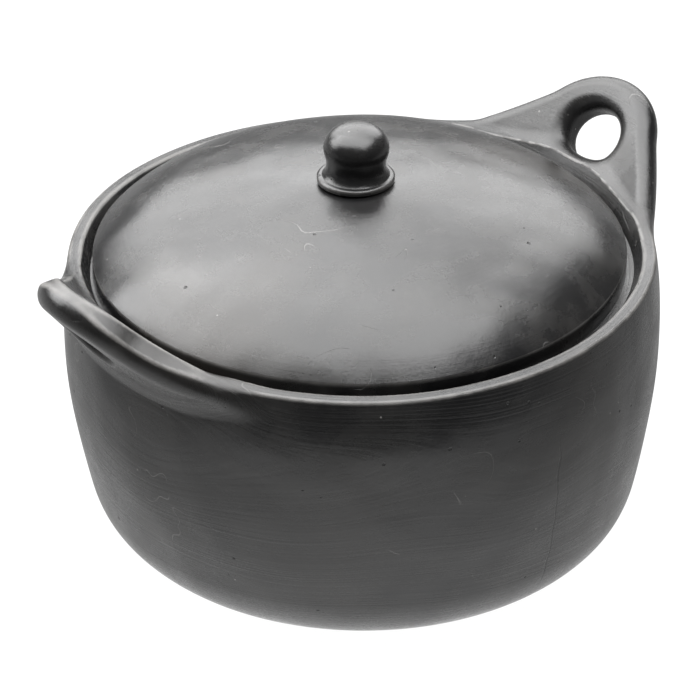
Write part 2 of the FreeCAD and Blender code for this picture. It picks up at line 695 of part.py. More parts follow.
def make_pot():
    """All the sub-parts of the pot, in the order a potter joins them."""
    bowl = make_bowl()
    envelope = make_bowl_envelope()
    parts = [
        make_bowl_slice(bowl, "moulded_base", "0", "base_seam"),
        make_bowl_slice(bowl, "wall_coil", "base_seam", "rim_seam"),
        make_bowl_slice(bowl, "rim_coil", "rim_seam", f"pot_height + {CUT_MARGIN}"),
        make_lid_ledge(),
        make_ear("left_ear", HALF_TURN, envelope),
        make_ear("right_ear", 0.0, envelope),
        make_lid_plate(),
        make_knob_collar(),
        make_lid_knob(),
    ]
    doc.recompute()
    return parts


def check_document():
    """Stop on any object that failed, because a recompute does not raise."""
    for item in doc.Objects:
        if "Invalid" in item.State or "Error" in item.State:
            raise RuntimeError(f"{item.Label} failed: {item.State}")
        if item.isDerivedFrom("Sketcher::SketchObject") and not item.FullyConstrained:
            raise RuntimeError(f"{item.Label} is not fully constrained")


def write_parts(parts):
    """One STEP file for each sub-part, named by its label."""
    os.makedirs("parts", exist_ok=True)
    for part in parts:
        if part.Shape.isNull() or not part.Shape.isValid():
            raise RuntimeError(f"{part.Label} has no valid shape")
        part.Shape.exportStep(f"parts/{part.Label}.step")
        print(f"{part.Label}: {len(part.Shape.Solids)} solid, {part.Shape.Volume / 1000:.1f} cm3")


pot_parts = make_pot()
check_document()
write_parts(pot_parts)
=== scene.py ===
"""Looks of the black clay stew pot: its bowl, two pierced ears and knobbed lid.

Frame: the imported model's own, +Z up, origin under the centre of the foot, ears along X.
Sizes below are in millimetres and the meshes are written in metres. A section of the pot is
drawn in a half-plane as complex numbers: radius from the pot's axis + height * 1j.
"""

import bmesh
import bpy
import math
import numpy as np
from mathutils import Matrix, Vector


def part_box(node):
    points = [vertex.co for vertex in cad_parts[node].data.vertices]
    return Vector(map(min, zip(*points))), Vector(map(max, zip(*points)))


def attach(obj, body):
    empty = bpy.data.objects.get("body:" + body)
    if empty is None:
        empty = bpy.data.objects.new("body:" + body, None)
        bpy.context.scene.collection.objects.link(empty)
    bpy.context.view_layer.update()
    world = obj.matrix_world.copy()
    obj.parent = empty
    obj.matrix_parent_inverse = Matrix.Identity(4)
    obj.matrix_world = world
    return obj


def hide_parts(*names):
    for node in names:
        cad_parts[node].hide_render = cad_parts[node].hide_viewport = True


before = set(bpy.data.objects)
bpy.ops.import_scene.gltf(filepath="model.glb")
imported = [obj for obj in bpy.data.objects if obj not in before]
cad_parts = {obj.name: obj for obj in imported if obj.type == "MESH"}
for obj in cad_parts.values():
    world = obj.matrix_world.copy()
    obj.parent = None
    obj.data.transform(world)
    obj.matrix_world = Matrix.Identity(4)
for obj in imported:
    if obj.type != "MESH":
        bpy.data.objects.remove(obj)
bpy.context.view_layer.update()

MM = 0.001


def node_box(node):
    """Lowest and highest corner of a CAD node, in millimetres."""
    low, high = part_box(node)
    return np.array(low) / MM, np.array(high) / MM


# Heights and radii that the frame gives.
POT_HEIGHT = node_box("rim_coil")[1][2]
BASE_SEAM = node_box("moulded_base")[1][2]
RIM_SEAM = node_box("wall_coil")[1][2]
BELLY_RADIUS = node_box("wall_coil")[1][0]
MOUTH_RADIUS = node_box("lid_ledge")[1][0]
LEDGE_TOP = node_box("lid_ledge")[1][2]
BAND_BOTTOM = node_box("lid_ledge")[0][2]
LID_RADIUS = node_box("lid_plate")[1][0]
LID_CROWN = node_box("lid_plate")[1][2]
COLLAR_RADIUS = node_box("knob_collar")[1][0]
COLLAR_TOP = node_box("knob_collar")[1][2]
KNOB_TOP = node_box("lid_knob")[1][2]

# Bowl.
FOOT_RADIUS = 52.0
BASE_ARC = 101.0
SHOULDER_ARC = 36.0
WALL_ARC = 304.0
NECK_ARC = 152.0
BELLY_HEIGHT = 103.0
WALL_THICKNESS = 6.8
FLOOR_THICKNESS = 8.0
INNER_SHOULDER_ARC = 29.0
LIP_ROUND = 1.3          # rounding of the lip's edges
LIP_FALL = 0.09          # outward fall of the lip's flat top, per unit of width
MOUTH_SLOPE = 0.53       # widening of the mouth above the ledge, per unit of height
BAND_TAPER = 0.62        # widening below the thick band, per unit of depth
LEDGE_INNER_RADIUS = 99.0
LEDGE_EDGE = 5.0
LEDGE_ROUND = 1.2


# How far the hand-built bowl and lid are out of true.
OVAL = 0.7
LOPSIDED = 0.2
LUMPS = (0.16, 0.12)
COIL_WAVE = 0.14
RIM_SWAY = 0.15
RIM_DIP = 1.2                  # how much lower the rim runs on one side
RIM_DIP_ANGLE = math.radians(-127)
FOOT_ASIDE = (0.6, -0.45)
FULL_RADIUS = 120.0            # where the unevenness, none on the axis, is full
LID_SWELL = (0.35, 0.12)
KNOB_LEAN = 0.02
KNOB_WOBBLE = 0.012

# Lid.
DOME_ARC = 262.0
DOME_SHOULDER_ARC = 69.0
LID_CORNER = 1.5
LID_THICKNESS = 7.5
LID_SEAT_RADIUS = 101.0
LID_OFFSET = (-0.8, 0.6)       # the lid doesn't sit quite in the middle
KNOB_OFFSET = (-2.0, 1.5)      # nor does its knob
COLLAR_ROUND = 1.5
KNOB_NECK_RADIUS = 11.9
KNOB_NECK_HEIGHT = 7.2
KNOB_NECK_ARC = 12.6
KNOB_HEAD_ARC = 8.5
KNOB_CROWN_ARC = 26.0
KNOB_SKIRT_ARC = 6.0

# Ears. Along an ear's plate from its root is "up", and across it is "through".
EAR_TILT = {1: math.radians(47.5), -1: math.radians(50.5)}   # right ear and left ear
EAR_ROOT = complex(120.6, POT_HEIGHT - 4.1)
EAR_HALF = 6.25                # the plate's thickness on its inner side, from its middle
EAR_OUTER_HALF = 7.0           # and on its outer side
EAR_FADE = 3.0                 # how far the edge's facet sinks towards its ends
EAR_REACH = 41.5
EAR_CROWN_ARC = 32.5
EAR_FLARE_ARC = 50.0
EAR_FOOT = complex(82.0, -36.0)
EAR_FOOT_END = 76.0
EAR_FOOT_SLOPE = math.radians(48.5)
EAR_TAPER = 4.5                # how much thinner the outer half gets towards its ends
EAR_TURN = {1: math.radians(3.2), -1: 0.0}    # how far each ear sits off the X axis
EAR_PARTING = -3.0             # height up the plate where the ear's own piece starts
HOLE_HALF_WIDTH = 13.5
HOLE_HALF_HEIGHT = 12.0
HOLE_CENTRE = 14.2
HOLE_ASIDE = 0.5
HOLE_INNER_ROUND = 6.0
HOLE_OUTER_ROUND = 3.5
FACET_TILT = math.radians(32.0)
FACET_DEPTH = 4.9
EAR_FACET = {1: 2.6, -1: 0.0}      # how much less the edge of each ear is pared to a facet

# Clay smoothed into the corner between rim and ears: its width.
LUTE_WIDTH = 2.5
LUTE_ROOT_WIDTH = 8.5          # more inside the middle of an ear's root
LUTE_ROOT_REACH = 28.0
LUTE_END_WIDTH = 4.0           # and more where an ear runs out
LUTE_OUTER_WIDTH = 4.5
EAR_INSET = 1.0                # how far an ear's plate stops short of the mouth's inner face
CREASE_WAVES = (0.16, 0.07)
WEAR_AND_HIGHLIGHT_PER_BEND = 1.6            # how worn an edge of 1 mm radius would be, which also sets its painted highlight

# Mesh steps, and the ring of space that holds the rim and ears.
PROFILE_STEP = 1.6
TURN_STEPS = 400
RIM_TURN_STEPS = 640
RIM_STEP = 1.1
RING_INNER = 106.0
RING_OUTER = 152.5
RING_ABOVE = 40.0


# ---------------------------------------------------------------- sections

def meeting_point(centre_a, radius_a, centre_b, radius_b):
    """Where two circles cross, on the left of the way from centre a to centre b."""
    gap = abs(centre_b - centre_a)
    along = (radius_a ** 2 - radius_b ** 2 + gap ** 2) / (2 * gap)
    across = math.sqrt(radius_a ** 2 - along ** 2)
    return centre_a + (centre_b - centre_a) / gap * complex(along, across)


def angle_to(centre, point):
    return math.atan2((point - centre).imag, (point - centre).real)


def angle_at(centre, radius, height):
    """Angle of the point on a circle's right half at a height."""
    return math.asin((height - centre.imag) / radius)


def arc_run(centre, radius, start, end):
    """Points of an arc, the normals on its right-hand side, and how worn a bulge so tight gets, which also
    sets its painted highlight.
    """
    count = max(4, int(abs(end - start) * radius / PROFILE_STEP) + 2)
    rays = np.exp(1j * np.linspace(start, end, count))
    side = 1.0 if end > start else -1.0
    worn = min(1.0, 2.0 / radius) if side > 0 else 0.0
    return centre + radius * rays, side * rays, np.full(count, worn)


def line_run(start, end):
    count = max(2, int(abs(end - start) / PROFILE_STEP) + 2)
    points = start + np.linspace(0, 1, count) * (end - start)
    normal = -1j * (end - start) / abs(end - start)
    return points, np.full(count, normal), np.zeros(count)


def smooth_run(*runs):
    """Runs that pass smoothly into each other, as one."""
    joined = []
    for item in range(3):
        stretches = [run[item][:-1] for run in runs[:-1]] + [runs[-1][item]]
        joined.append(np.concatenate(stretches))
    return tuple(joined)


BASE = complex(FOOT_RADIUS, BASE_ARC)
WALL = complex(BELLY_RADIUS - WALL_ARC, BELLY_HEIGHT)
NECK = complex(BELLY_RADIUS - NECK_ARC, BELLY_HEIGHT)
SHOULDER = meeting_point(BASE, BASE_ARC - SHOULDER_ARC, WALL, WALL_ARC - SHOULDER_ARC)
INNER_BASE_ARC = BASE_ARC - FLOOR_THICKNESS
INNER_WALL_ARC = WALL_ARC - WALL_THICKNESS
INNER_SHOULDER = meeting_point(
    BASE, INNER_BASE_ARC - INNER_SHOULDER_ARC, WALL, INNER_WALL_ARC - INNER_SHOULDER_ARC)
DOME = complex(0, LID_CROWN - DOME_ARC)


# ---------------------------------------------------------------- hand-built unevenness

def smoothstep(low, high, value):
    t = np.clip((value - low) / (high - low), 0, 1)
    return t * t * (3 - 2 * t)


def bowl_unevenness(points):
    """Moves points of a true pot a little, the way a coiled and scraped one is out of true."""
    x, y, z = points.T
    radius = np.hypot(x, y) + 1e-9
    angle = np.arctan2(y, x)
    share = np.minimum(radius / FULL_RADIUS, 1) ** 2
    inside_ears = 1 - smoothstep(122, 150, radius)
    oval = (OVAL * np.cos(2 * angle) + LOPSIDED * np.sin(angle)) * smoothstep(0, 90, z)
    lumps = LUMPS[0] * np.sin(5 * angle + 1.3 + z / 40) + LUMPS[1] * np.sin(9 * angle + 0.7 - z / 25)
    bands = COIL_WAVE * np.sin(z / 9.0 + 1.5 * np.sin(angle * 2 + 0.5))
    out = (oval + (lumps + bands) * smoothstep(4, 30, z)) * inside_ears * share
    dip = RIM_DIP * np.exp(5 * (np.cos(angle - RIM_DIP_ANGLE) - 1))
    lift = (RIM_SWAY * np.sin(2 * angle - 0.9) - dip) * smoothstep(60, 132, z) * share
    low = 1 - smoothstep(10, 125, z)
    moved_x = out * x / radius + FOOT_ASIDE[0] * low
    moved_y = out * y / radius + FOOT_ASIDE[1] * low
    return points + np.stack([moved_x, moved_y, lift], 1)


def lid_unevenness(points):
    """The bowl's own unevenness, with the lid's offset and the slow swells of its dome."""
    x, y, z = points.T
    moved = bowl_unevenness(points)
    swell = LID_SWELL[0] * np.sin(x / 31 + 1.0) * np.sin(y / 27 + 2.0)
    swell = swell + LID_SWELL[1] * np.sin(x / 11 - y / 17)
    swell = swell * (1 - smoothstep(70, 104, np.hypot(x, y))) * smoothstep(LEDGE_TOP, LEDGE_TOP + 20, z)
    moved[:, 0] += LID_OFFSET[0]
    moved[:, 1] += LID_OFFSET[1]
    moved[:, 2] += swell * smoothstep(0, 18, np.hypot(x, y))
    return moved


def knob_unevenness(points):
    """A knob and collar that lean, aren't quite round and sit a little off the lid's middle."""
    x, y, z = points.T
    lean = (z - COLLAR_TOP) * KNOB_LEAN
    wobble = 1 + KNOB_WOBBLE * np.sin(2 * np.arctan2(y, x) + z / 6)
    return np.stack([x * wobble + KNOB_OFFSET[0] + lean, y * wobble + KNOB_OFFSET[1], z], 1)


def bent(points, normals, unevenness):
    """Points and their normals after an unevenness, whose slope tilts the normals."""
    step = 0.05
    moved = unevenness(points)
    columns = [(unevenness(points + step * axis) - moved) / step for axis in np.eye(3)]
    turned = (normals[:, :1] * np.cross(columns[1], columns[2])
              + normals[:, 1:2] * np.cross(columns[2], columns[0])
              + normals[:, 2:] * np.cross(columns[0], columns[1]))
    return moved, turned / np.linalg.norm(turned, axis=1, keepdims=True)


# ---------------------------------------------------------------- meshes

def new_piece(name, vertices, faces, corner_normals, worn):
    """A mesh object in metres with its own corner normals and, at each point, a value of edge wear that
    also sets a painted highlight.
    """
    mesh = bpy.data.meshes.new(name)
    mesh.from_pydata((vertices * MM).tolist(), [], faces)
    mesh.attributes.new("worn", "FLOAT", "POINT").data.foreach_set("value", worn.astype(np.float32))
    mesh.polygons.foreach_set("use_smooth", np.ones(len(mesh.polygons), bool))
    mesh.normals_split_custom_set(corner_normals.tolist())
    piece = bpy.data.objects.new(name, mesh)
    bpy.context.scene.collection.objects.link(piece)
    return piece


def turned_piece(name, runs, unevenness, steps=TURN_STEPS):
    """A closed piece turned round the axis. Each run is smooth, and two runs meet in an edge."""
    angles = np.arange(steps) * 2 * math.pi / steps
    around = np.stack([np.cos(angles), np.sin(angles)], 1)
    outline = np.concatenate([run[0][:-1] for run in runs] + [runs[-1][0][-1:]])
    worn_outline = np.concatenate([run[2][:-1] for run in runs] + [runs[-1][2][-1:]])
    on_axis = abs(outline[0].real) < 1e-6
    if not on_axis:
        outline = outline[:-1]
        worn_outline = worn_outline[:-1]
    rows = []
    vertices = []
    worn = []
    for point, wear_and_highlight_amount in zip(outline, worn_outline):
        if abs(point.real) < 1e-6:
            rows.append(np.full(steps, len(vertices)))
            vertices.append((0, 0, point.imag))
            worn.append(wear_and_highlight_amount)
        else:
            rows.append(len(vertices) + np.arange(steps))
            ring = np.column_stack([around * point.real, np.full(steps, point.imag)])
            vertices.extend(map(tuple, ring))
            worn.extend([wear_and_highlight_amount] * steps)
    faces = []
    spots = []
    normals = []
    after = np.roll(np.arange(steps), -1)
    row = 0
    for _points, run_normals, _worn in runs:
        for index in range(len(run_normals) - 1):
            lower = rows[row]
            upper = rows[(row + 1) % len(rows)]
            sides = ((lower, False, 0), (lower, True, 0), (upper, True, 1), (upper, False, 1))
            if lower[0] == lower[1]:
                sides = (sides[0], sides[2], sides[3])
            elif upper[0] == upper[1]:
                sides = (sides[0], sides[1], sides[2])
            face = np.stack([ids[after] if turned else ids for ids, turned, _end in sides], 1)
            faces.extend(face.tolist())
            spots.append(face.ravel())
            corner = []
            for _ids, turned, end in sides:
                direction = around[after] if turned else around
                normal = run_normals[index + end]
                corner.append(np.column_stack([direction * normal.real, np.full(steps, normal.imag)]))
            normals.append(np.stack(corner, 1).reshape(-1, 3))
            row += 1
    vertices = np.array(vertices, float)
    spots = np.concatenate(spots)
    _moved, corner_normals = bent(vertices[spots], np.concatenate(normals), unevenness)
    return new_piece(name, unevenness(vertices), faces, corner_normals, np.array(worn))


# ---------------------------------------------------------------- bowl pieces

def outer_wall(low, high):
    """The bowl's outside between two heights above the foot's edge."""
    parts = []
    base_end = angle_to(BASE, SHOULDER)
    wall_start = angle_to(WALL, SHOULDER)
    base_top = (BASE + BASE_ARC * np.exp(1j * base_end)).imag
    shoulder_top = (WALL + WALL_ARC * np.exp(1j * wall_start)).imag
    if low < base_top:
        parts.append(arc_run(BASE, BASE_ARC, -math.pi / 2, base_end))
        parts.append(arc_run(SHOULDER, SHOULDER_ARC, base_end, wall_start))
    start = max(low, shoulder_top)
    stop = min(high, BELLY_HEIGHT)
    parts.append(arc_run(WALL, WALL_ARC, angle_at(WALL, WALL_ARC, start), angle_at(WALL, WALL_ARC, stop)))
    if high > BELLY_HEIGHT:
        parts.append(arc_run(NECK, NECK_ARC, 0, angle_at(NECK, NECK_ARC, high)))
    return smooth_run(*parts)


def inner_point(height):
    """The inside of the bowl at a height."""
    wall_start = angle_to(WALL, INNER_SHOULDER)
    if height > (WALL + INNER_WALL_ARC * np.exp(1j * wall_start)).imag:
        centre, radius = WALL, INNER_WALL_ARC
    else:
        centre, radius = INNER_SHOULDER, INNER_SHOULDER_ARC
    return centre + radius * np.exp(1j * angle_at(centre, radius, height))


def make_base():
    outer = smooth_run(line_run(0j, complex(FOOT_RADIUS, 0)), outer_wall(0, BASE_SEAM))
    inner_top = inner_point(BASE_SEAM)
    base_end = angle_to(BASE, INNER_SHOULDER)
    inner = smooth_run(
        arc_run(INNER_SHOULDER, INNER_SHOULDER_ARC, angle_to(INNER_SHOULDER, inner_top), base_end),
        arc_run(BASE, INNER_BASE_ARC, base_end, -math.pi / 2),
        line_run(complex(FOOT_RADIUS, FLOOR_THICKNESS), complex(0, FLOOR_THICKNESS)))
    runs = [outer, line_run(outer[0][-1], inner_top), inner]
    piece = turned_piece("moulded_base_clay", runs, bowl_unevenness)
    return finish_piece(piece, "pot", "moulded_base", "bowl_clay")


def make_wall():
    outer = outer_wall(BASE_SEAM, RIM_SEAM)
    inner_top = inner_point(RIM_SEAM)
    inner_bottom = inner_point(BASE_SEAM)
    wall_start = angle_to(WALL, INNER_SHOULDER)
    inner = smooth_run(
        arc_run(WALL, INNER_WALL_ARC, angle_to(WALL, inner_top), wall_start),
        arc_run(INNER_SHOULDER, INNER_SHOULDER_ARC, wall_start, angle_to(INNER_SHOULDER, inner_bottom)))
    runs = [outer, line_run(outer[0][-1], inner_top), inner, line_run(inner_bottom, outer[0][0])]
    piece = turned_piece("wall_coil_clay", runs, bowl_unevenness)
    return finish_piece(piece, "pot", "wall_coil", "bowl_clay")


def make_ledge():
    inner = LEDGE_INNER_RADIUS
    low = LEDGE_TOP - LEDGE_EDGE
    under = line_run(complex(MOUTH_RADIUS, BAND_BOTTOM), complex(MOUTH_RADIUS, LEDGE_TOP))
    corner = complex(inner + LEDGE_ROUND, LEDGE_TOP - LEDGE_ROUND)
    top = smooth_run(
        line_run(complex(MOUTH_RADIUS, LEDGE_TOP), complex(corner.real, LEDGE_TOP)),
        arc_run(corner, LEDGE_ROUND, math.pi / 2, math.pi),
        line_run(complex(inner, corner.imag), complex(inner, low)))
    below = line_run(complex(inner, low), complex(MOUTH_RADIUS, BAND_BOTTOM))
    piece = turned_piece("lid_ledge_clay", [under, top, below], bowl_unevenness)
    return finish_piece(piece, "pot", "lid_ledge", "bowl_clay")


# ---------------------------------------------------------------- rim and ears as one clay body

def rounded_cut(first, second, radius):
    """Where two solids overlap, with the edge between their faces rounded."""
    bevel = np.hypot(np.maximum(first + radius, 0), np.maximum(second + radius, 0))
    return np.minimum(np.maximum(first, second), -radius) + bevel


def luted(first, second, width):
    """Two solids joined, with clay smoothed into the corner between them."""
    near = np.maximum(width - np.abs(first - second), 0) / width
    return np.minimum(first, second) - near * near * width / 4


def rim_distance(radius, z):
    """Distances to the thick rim and to its inner faces, negative inside the clay."""
    outside = np.hypot(radius - NECK.real, z - NECK.imag) - NECK_ARC
    slope = (MOUTH_RADIUS - radius + MOUTH_SLOPE * (z - LEDGE_TOP)) / math.hypot(1, MOUTH_SLOPE)
    taper = (MOUTH_RADIUS - radius + BAND_TAPER * (BAND_BOTTOM - z)) / math.hypot(1, BAND_TAPER)
    inside = np.maximum(np.maximum(slope, taper), MOUTH_RADIUS - radius)
    top = z - POT_HEIGHT + LIP_FALL * np.maximum(radius - MOUTH_RADIUS, 0)
    return rounded_cut(rounded_cut(outside, top, LIP_ROUND), inside, LIP_ROUND), inside


def ear_outline(across, up):
    """Distance to an ear's outline in the plane of its plate, negative inside."""
    normal = complex(math.sin(EAR_FOOT_SLOPE), math.cos(EAR_FOOT_SLOPE))
    fall = complex(normal.imag, -normal.real)
    crown = complex(0, EAR_REACH - EAR_CROWN_ARC)
    gap = EAR_FOOT + normal * EAR_FLARE_ARC - crown
    height = (gap * normal.conjugate()).real
    along = math.sqrt((EAR_CROWN_ARC + EAR_FLARE_ARC) ** 2 - height ** 2)
    flare = crown + normal * height + fall * along
    point = np.abs(across) + 1j * up
    crown_end = angle_to(crown, flare)
    on_crown = np.angle((point - crown) * np.exp(-1j * crown_end)) > 0
    beyond_flare = ((point - flare) * fall.conjugate()).real > 0
    below_crown = np.abs(point - crown) - EAR_CROWN_ARC
    hollow = EAR_FLARE_ARC - np.abs(point - flare)
    slope = ((point - flare) * normal.conjugate()).real + EAR_FLARE_ARC
    side = np.where(beyond_flare, slope, hollow)
    return np.where(on_crown & (point.imag > crown.imag), below_crown, side)


def ear_distance(x, y, z, tilt, unpared, inside):
    """Distance to one ear of the +X side, and the distance through its plate."""
    radius = np.hypot(x, y)
    way_out = radius - EAR_ROOT.real
    way_up = z - EAR_ROOT.imag
    through = way_up * np.cos(tilt) - way_out * np.sin(tilt)
    up = (x - EAR_ROOT.real) * np.cos(tilt) + way_up * np.sin(tilt)
    outline = ear_outline(y, up)
    outer_half = EAR_OUTER_HALF - EAR_TAPER * smoothstep(30, 72, np.abs(y))
    half = np.where(through < 0, outer_half, EAR_HALF)
    rolled = np.hypot(np.maximum(outline + half, 0), through) - half
    crease = CREASE_WAVES[0] * np.sin(y / 6.1) + CREASE_WAVES[1] * np.sin(y / 3.3 + 1)
    depth = FACET_DEPTH + crease + (EAR_HALF - FACET_DEPTH) * (1 - smoothstep(8, 24, np.abs(y)))
    depth = depth + unpared + EAR_FADE * smoothstep(36, 66, np.abs(y))
    facet = (outline + EAR_HALF) * math.cos(FACET_TILT) + through * math.sin(FACET_TILT) - depth
    plate = rounded_cut(rolled, facet, 0.6)
    oval = np.hypot((y - HOLE_ASIDE) / HOLE_HALF_WIDTH, (up - HOLE_CENTRE) / HOLE_HALF_HEIGHT) - 1
    hole = -oval * HOLE_HALF_HEIGHT
    hole_round = np.where(through > 0, HOLE_INNER_ROUND, HOLE_OUTER_ROUND)
    pierced = rounded_cut(np.abs(through) - half, hole, hole_round)
    ends = np.maximum(np.abs(y) - EAR_FOOT_END, -x)
    return np.maximum(np.maximum(plate, pierced), np.maximum(inside + EAR_INSET, ends)), through


def clay_distance(points):
    """Distance to the rim with both ears luted on, negative inside the clay.

    The clay smoothed in is trimmed to the mouth's inner face, so that the lid goes in.
    """
    x, y, z = points.T
    side = np.where(x < 0, -1, 1)
    rim, inside = rim_distance(np.hypot(x, y), z)
    turn = np.where(side > 0, EAR_TURN[1], EAR_TURN[-1])
    along = side * (x * np.cos(turn) + y * np.sin(turn))
    across = side * (y * np.cos(turn) - x * np.sin(turn))
    tilt = np.where(side > 0, EAR_TILT[1], EAR_TILT[-1])
    unpared = np.where(side > 0, EAR_FACET[1], EAR_FACET[-1])
    ear, through = ear_distance(along, across, z, tilt, unpared, inside)
    root_width = LUTE_ROOT_WIDTH * np.exp(-(across / LUTE_ROOT_REACH) ** 2)
    inner_width = LUTE_WIDTH + root_width + LUTE_END_WIDTH * smoothstep(40, 60, np.abs(across))
    outer_width = LUTE_OUTER_WIDTH * smoothstep(RIM_SEAM, RIM_SEAM + 9, z) + 0.1
    width = inner_width + (outer_width - inner_width) * (1 - smoothstep(-3, 3, through))
    return np.maximum(luted(rim, ear, width), inside)


def clay_normal(points):
    """Slope of the distance to the clay, which points straight out of its skin."""
    step = 0.05
    slope = []
    for axis in np.eye(3):
        slope.append(clay_distance(points + step * axis) - clay_distance(points - step * axis))
    return np.stack(slope, 1) / (2 * step)


def rim_shell():
    """The skin of the rim and ears: one point in each cell of a ring-shaped grid that it crosses."""
    low, high = RING_INNER, RING_OUTER
    bottom, top = RIM_SEAM - 2.5, POT_HEIGHT + RING_ABOVE
    angles = np.arange(RIM_TURN_STEPS) * 2 * math.pi / RIM_TURN_STEPS
    radii = np.arange(low, high, RIM_STEP)
    heights = np.arange(bottom, top, RIM_STEP)
    grid = np.stack(np.meshgrid(angles, radii, heights, indexing="ij"), -1).reshape(-1, 3)
    spots = np.stack([grid[:, 1] * np.cos(grid[:, 0]), grid[:, 1] * np.sin(grid[:, 0]), grid[:, 2]], 1)
    value = clay_distance(spots).reshape(len(angles), len(radii), len(heights))
    value = np.concatenate([value, value[:1]], 0)
    corners = [value[i:i + len(angles), j:j + len(radii) - 1, k:k + len(heights) - 1]
               for i in (0, 1) for j in (0, 1) for k in (0, 1)]
    signs = sum((corner < 0).astype(int) for corner in corners)
    cells = np.argwhere((signs > 0) & (signs < 8))
    number = np.full(signs.shape, -1)
    number[tuple(cells.T)] = np.arange(len(cells))
    inner = np.stack([corner[tuple(cells.T)] for corner in corners], 1)
    place = np.array([(i, j, k) for i in (0, 1) for j in (0, 1) for k in (0, 1)], float)
    total = np.zeros((len(cells), 3))
    crossings = np.zeros(len(cells))
    for a in range(8):
        for b in range(a + 1, 8):
            if np.abs(place[a] - place[b]).sum() != 1:
                continue
            crossed = (inner[:, a] < 0) != (inner[:, b] < 0)
            share = inner[:, a] / np.where(crossed, inner[:, a] - inner[:, b], 1)
            spot = place[a] + share[:, None] * (place[b] - place[a])
            total += np.where(crossed[:, None], spot, 0)
            crossings += crossed
    local = cells + total / crossings[:, None]
    angle = local[:, 0] * 2 * math.pi / RIM_TURN_STEPS
    radius = low + local[:, 1] * RIM_STEP
    points = np.stack([radius * np.cos(angle), radius * np.sin(angle), bottom + local[:, 2] * RIM_STEP], 1)
    for _round in range(4):
        slope = clay_normal(points)
        length = (slope ** 2).sum(1)
        move = (clay_distance(points) / np.maximum(length, 0.2))[:, None] * slope
        reach = np.linalg.norm(move, axis=1, keepdims=True)
        points = points - move * np.minimum(1, 0.5 / np.maximum(reach, 1e-9))
    return points, shell_faces(value, number)


def shell_faces(value, number):
    """A face for each grid edge that the skin crosses, between the four cells round it."""
    faces = []
    count = number.shape[0]
    for axis in range(3):
        first = [slice(0, count), slice(0, None), slice(0, None)]
        second = list(first)
        if axis == 0:
            second[0] = slice(1, count + 1)
        else:
            first[axis] = slice(0, -1)
            second[axis] = slice(1, None)
        start = value[tuple(first)]
        end = value[tuple(second)]
        crossed = np.argwhere((start < 0) != (end < 0))
        inward = (start < 0)[tuple(crossed.T)]
        b, c = (axis + 1) % 3, (axis + 2) % 3
        ring = []
        for shift_b, shift_c in ((0, 0), (-1, 0), (-1, -1), (0, -1)):
            cell = crossed.copy()
            cell[:, b] += shift_b
            cell[:, c] += shift_c
            cell[:, 0] %= count
            ring.append(cell)
        valid = np.ones(len(crossed), bool)
        for cell in ring:
            for other in (1, 2):
                valid &= (cell[:, other] >= 0) & (cell[:, other] < number.shape[other])
        quad = np.stack([number[tuple(np.where(valid[:, None], cell, 0).T)] for cell in ring], 1)
        valid &= (quad >= 0).all(1)
        quad = quad[valid]
        flip = inward[valid]
        quad[~flip] = quad[~flip][:, ::-1]
        faces.append(quad)
    return np.concatenate(faces)


def parted(source, cuts):
    """A copy of a bmesh, kept on the inner side of each cutting plane and closed there."""
    piece = source.copy()
    for point, normal in cuts:
        geometry = piece.verts[:] + piece.edges[:] + piece.faces[:]
        cut = bmesh.ops.bisect_plane(
            piece, geom=geometry, plane_co=point, plane_no=normal, dist=1e-5, clear_outer=True)
        edges = [item for item in cut["geom_cut"] if isinstance(item, bmesh.types.BMEdge)]
        bmesh.ops.triangle_fill(piece, edges=edges, use_beauty=True, use_dissolve=False)
    bmesh.ops.recalc_face_normals(piece, faces=piece.faces[:])
    return piece


def clay_wear_and_highlight(points):
    """Edge wear, which also sets a painted highlight: more on tight bulges, from how the skin's normals
    spread.
    """
    step = 0.8
    spread = np.zeros(len(points))
    for axis in np.eye(3):
        change = clay_normal(points + step * axis) - clay_normal(points - step * axis)
        spread += change @ axis / (2 * step)
    return np.clip(spread * WEAR_AND_HIGHLIGHT_PER_BEND, 0, 1)


def parting_plane(side):
    """A point and the upward normal of the plane inside the clay where an ear's piece starts."""
    turn = EAR_TURN[side] + (0 if side > 0 else math.pi)
    tilt = EAR_TILT[side]
    around = np.array([math.cos(turn), math.sin(turn), 0])
    normal = around * math.cos(tilt) + np.array([0, 0, math.sin(tilt)])
    root = around * EAR_ROOT.real + np.array([0, 0, EAR_ROOT.imag])
    return root + EAR_PARTING * normal, normal


def on_planes(shape, face_normals, planes):
    """Which faces lie in one of the cutting planes, so that they are flat caps."""
    middles = np.array([face.calc_center_median() for face in shape.faces], float)
    capped = np.zeros(len(middles), bool)
    for point, normal in planes:
        distance = np.abs((middles - np.array(point)) @ np.array(normal))
        capped |= (distance < 1e-3) & (np.abs(face_normals @ np.array(normal)) > 0.999)
    return capped


def make_skin_piece(node, shape, planes):
    """A piece of the rim's skin as an object: smooth where it is skin, and flat where it is cut."""
    shape.verts.index_update()
    vertices = np.array([vertex.co for vertex in shape.verts], float)
    corners = [[vertex.index for vertex in face.verts] for face in shape.faces]
    face_normals = np.array([face.normal for face in shape.faces], float)
    skin = clay_normal(vertices)
    skin /= np.linalg.norm(skin, axis=1, keepdims=True)
    capped = on_planes(shape, face_normals, planes)
    corner_vertex = np.concatenate([np.array(corner) for corner in corners])
    corner_face = np.repeat(np.arange(len(corners)), [len(corner) for corner in corners])
    normals = np.where(capped[corner_face][:, None], face_normals[corner_face], skin[corner_vertex])
    _moved, corner_normals = bent(vertices[corner_vertex], normals, bowl_unevenness)
    wear_and_highlight_amount = clay_wear_and_highlight(vertices)
    piece = new_piece(node + "_clay", bowl_unevenness(vertices), corners, corner_normals, wear_and_highlight_amount)
    return finish_piece(piece, "pot", node, "ear_clay" if "ear" in node else "bowl_clay")


